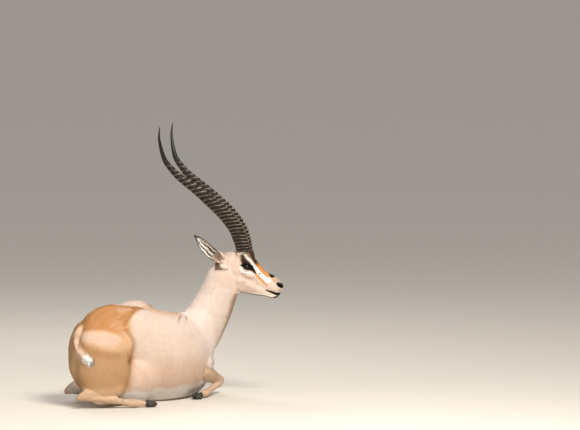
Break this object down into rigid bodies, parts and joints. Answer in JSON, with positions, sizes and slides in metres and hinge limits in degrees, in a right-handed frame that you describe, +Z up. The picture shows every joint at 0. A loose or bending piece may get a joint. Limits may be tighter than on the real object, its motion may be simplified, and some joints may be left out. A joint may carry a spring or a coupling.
{
  "type": "grant's gazelle, lying",
  "caption": "Life-size still model of a male Grant's gazelle lying at rest, head up, with long ringed horns and legs folded under it.",
  "frame": {"origin": "on the floor, below the middle of the model's bounding box", "axes": "+Z up from the floor; the face looks along +X, turned 12 degrees towards -Y; the rump lies towards -X and -Y and the chest towards +Y"},
  "size_m": [0.8802, 0.7158, 1.094],
  "materials": {
    "coat": "short matt hair",
    "white_hair": "matt hair",
    "horn": "satin, ringed",
    "eye": "wet gloss",
    "hoof": "satin"
  },
  "bodies": {
    "root": {"barrel": "coat", "chest": "coat", "ear_left": "coat", "ear_right": "coat", "eye_left": "eye", "eye_right": "eye", "head": "coat", "hoof_fore_left_inner": "hoof", "hoof_fore_left_outer": "hoof", "hoof_fore_right_inner": "hoof", "hoof_fore_right_outer": "hoof", "hoof_hind_left_inner": "hoof", "hoof_hind_left_outer": "hoof", "hoof_hind_right_inner": "hoof", "hoof_hind_right_outer": "hoof", "horn_left": "horn", "horn_right": "horn", "leg_fore_left": "coat", "leg_fore_right": "coat", "leg_hind_left": "coat", "leg_hind_right": "coat", "neck": "coat", "rump": "coat", "tail": "white_hair"}
  },
  "joints": []
}
